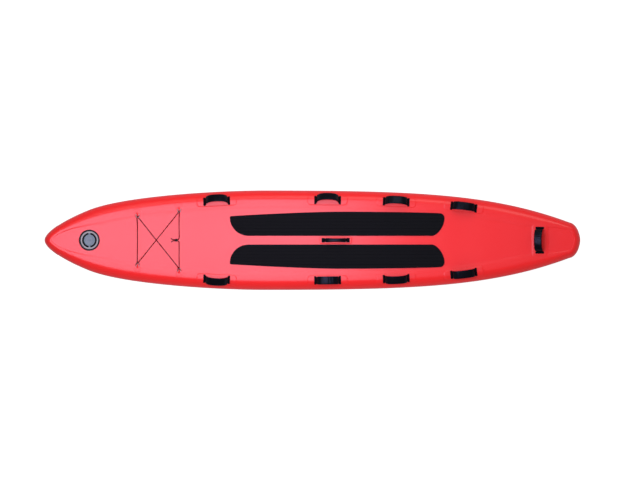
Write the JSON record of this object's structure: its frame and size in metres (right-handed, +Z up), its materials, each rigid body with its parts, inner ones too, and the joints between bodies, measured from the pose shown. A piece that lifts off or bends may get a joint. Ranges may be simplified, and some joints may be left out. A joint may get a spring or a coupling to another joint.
{
  "type": "inflatable rescue board",
  "caption": "Long red inflatable board with a pointed rising nose, squared tail, padded grab handles on both rails, ribbed deck pads, bow bungee, air valve and fin box.",
  "frame": {"origin": "on the ground under the middle of the board, which lies on its flat belly", "axes": "+X towards the tail, +Y towards the right rail as a rider facing the nose has it, +Z up"},
  "size_m": [3.813, 0.71, 0.3122],
  "materials": {
    "deck_fabric": "PVC-coated drop-stitch fabric, satin, with a faint pebbled surface",
    "rail_fabric": "PVC-coated fabric, satin, with welded seams",
    "patch_fabric": "PVC-coated fabric patches, glued on, satin",
    "core_fabric": "plain woven polyester",
    "pad_foam": "matt closed-cell foam with long grooves",
    "webbing": "woven polyester webbing",
    "grip_neoprene": "neoprene-lined sleeve with a slight sheen",
    "black_plastic": "moulded plastic, satin",
    "grey_plastic": "moulded light grey plastic, satin",
    "cap_plastic": "moulded blue-grey plastic, satin",
    "steel": "stainless wire and plate, bright",
    "cord": "braided elastic cord"
  },
  "bodies": {
    "hull": {"deck_skin": "deck_fabric", "bottom_skin": "rail_fabric", "drop_stitch_core": "core_fabric", "rail_band_left": "rail_fabric", "rail_band_right": "rail_fabric", "nose_patch": "rail_fabric", "tail_patch": "rail_fabric", "deck_pad_left": "pad_foam", "deck_pad_right": "pad_foam", "handle_base_left_1": "patch_fabric", "handle_base_left_2": "patch_fabric", "handle_base_left_3": "patch_fabric", "handle_base_left_4": "patch_fabric", "handle_base_right_1": "patch_fabric", "handle_base_right_2": "patch_fabric", "handle_base_right_3": "patch_fabric", "handle_base_right_4": "patch_fabric", "carry_base": "patch_fabric", "tail_handle_base": "patch_fabric", "valve_weld_ring": "black_plastic", "valve_body": "grey_plastic", "valve_nut": "black_plastic", "valve_spring": "steel", "bungee_cord": "cord", "anchor_patch_front_left": "patch_fabric", "anchor_patch_front_right": "patch_fabric", "anchor_patch_rear_left": "patch_fabric", "anchor_patch_rear_right": "patch_fabric", "anchor_ring_front_left": "steel", "anchor_ring_front_right": "steel", "anchor_ring_rear_left": "steel", "anchor_ring_rear_right": "steel", "tow_anchor": "patch_fabric", "fin_box": "black_plastic"},
    "handle_left_1": {"handle_strap_left_1": "webbing", "handle_grip_left_1": "grip_neoprene"},
    "handle_left_2": {"handle_strap_left_2": "webbing", "handle_grip_left_2": "grip_neoprene"},
    "handle_left_3": {"handle_strap_left_3": "webbing", "handle_grip_left_3": "grip_neoprene"},
    "handle_left_4": {"handle_strap_left_4": "webbing", "handle_grip_left_4": "grip_neoprene"},
    "handle_right_1": {"handle_strap_right_1": "webbing", "handle_grip_right_1": "grip_neoprene"},
    "handle_right_2": {"handle_strap_right_2": "webbing", "handle_grip_right_2": "grip_neoprene"},
    "handle_right_3": {"handle_strap_right_3": "webbing", "handle_grip_right_3": "grip_neoprene"},
    "handle_right_4": {"handle_strap_right_4": "webbing", "handle_grip_right_4": "grip_neoprene"},
    "carry_handle": {"carry_strap": "webbing", "carry_grip": "grip_neoprene"},
    "tail_handle": {"tail_handle_strap": "webbing", "tail_handle_grip": "grip_neoprene"},
    "valve_cap": {"valve_cap": "cap_plastic"},
    "valve_plunger": {"valve_plunger": "black_plastic"},
    "cord_lock": {"cord_lock_body": "black_plastic"},
    "cord_lock_button": {"cord_lock_button": "black_plastic"},
    "tow_ring": {"tow_ring": "steel"},
    "fin_nut": {"fin_nut": "steel"}
  },
  "joints": [
    {"name": "left_loop_1_flop", "type": "hinge", "parent": "hull", "child": "handle_left_1", "pos_m": [-0.68382, -0.27818, 0.16049], "axis": [0.9985, -0.0501, -0.0227], "range_deg": [-51, 19], "stiffness_Nm_per_rad": 0.5},
    {"name": "left_loop_2_flop", "type": "hinge", "parent": "hull", "child": "handle_left_2", "pos_m": [0.10669, -0.28575, 0.158], "axis": [0.9999, 0.0107, 0], "range_deg": [-27, 43], "stiffness_Nm_per_rad": 0.5},
    {"name": "left_loop_3_flop", "type": "hinge", "parent": "hull", "child": "handle_left_3", "pos_m": [0.59535, -0.27358, 0.158], "axis": [0.999, 0.0451, 0], "range_deg": [-40, 30], "stiffness_Nm_per_rad": 0.5},
    {"name": "left_loop_4_flop", "type": "hinge", "parent": "hull", "child": "handle_left_4", "pos_m": [1.07635, -0.23675, 0.16187], "axis": [0.993, 0.1171, 0.0139], "range_deg": [-20, 20], "stiffness_Nm_per_rad": 0.5},
    {"name": "right_loop_1_flop", "type": "hinge", "parent": "hull", "child": "handle_right_1", "pos_m": [-0.68382, 0.27818, 0.16049], "axis": [0.9985, 0.0501, -0.0227], "range_deg": [-13, 57], "stiffness_Nm_per_rad": 0.5},
    {"name": "right_loop_2_flop", "type": "hinge", "parent": "hull", "child": "handle_right_2", "pos_m": [0.10669, 0.28575, 0.158], "axis": [0.9999, -0.0107, 0], "range_deg": [-7, 63], "stiffness_Nm_per_rad": 0.5},
    {"name": "right_loop_3_flop", "type": "hinge", "parent": "hull", "child": "handle_right_3", "pos_m": [0.59535, 0.27358, 0.158], "axis": [0.999, -0.0451, 0], "range_deg": [-25, 45], "stiffness_Nm_per_rad": 0.5},
    {"name": "right_loop_4_flop", "type": "hinge", "parent": "hull", "child": "handle_right_4", "pos_m": [1.07635, 0.23675, 0.16187], "axis": [0.993, -0.1171, 0.0139], "range_deg": [-20, 20], "stiffness_Nm_per_rad": 0.5},
    {"name": "carry_loop_flop", "type": "hinge", "parent": "hull", "child": "carry_handle", "pos_m": [0.164, 0, 0.1564], "axis": [1, 0, 0], "range_deg": [-35, 35], "stiffness_Nm_per_rad": 0.4},
    {"name": "tail_loop_flop", "type": "hinge", "parent": "hull", "child": "tail_handle", "pos_m": [1.61637, 0, 0.20083], "axis": [0, 1, 0], "range_deg": [-23, 47], "stiffness_Nm_per_rad": 0.5},
    {"name": "valve_cap_turn", "type": "hinge", "parent": "hull", "child": "valve_cap", "pos_m": [-1.58794, 0, 0.24897], "axis": [0.1901, 0, 0.9818], "range_deg": [0, 90]},
    {"name": "valve_plunger_press", "type": "slide", "parent": "hull", "child": "valve_plunger", "axis": [-0.1901, 0, -0.9818], "range_m": [0, 0.006], "stiffness_N_per_m": 200, "springref_m": -0.003, "deforming": ["valve_spring"]},
    {"name": "cord_lock_slide", "type": "slide", "parent": "hull", "child": "cord_lock", "axis": [-0.997, 0, 0.0779], "range_m": [0, 0.01]},
    {"name": "cord_lock_press", "type": "slide", "parent": "cord_lock", "child": "cord_lock_button", "axis": [-0.0779, 0, -0.997], "range_m": [0, 0.0025], "stiffness_N_per_m": 300, "springref_m": -0.002},
    {"name": "tow_ring_swing", "type": "hinge", "parent": "hull", "child": "tow_ring", "pos_m": [-1.70133, 0, 0.11617], "axis": [0, -1, 0], "range_deg": [-80, 80]},
    {"name": "fin_nut_slide", "type": "slide", "parent": "hull", "child": "fin_nut", "axis": [0.9955, 0, 0.0951], "range_m": [-0.03, 0.17]}
  ]
}
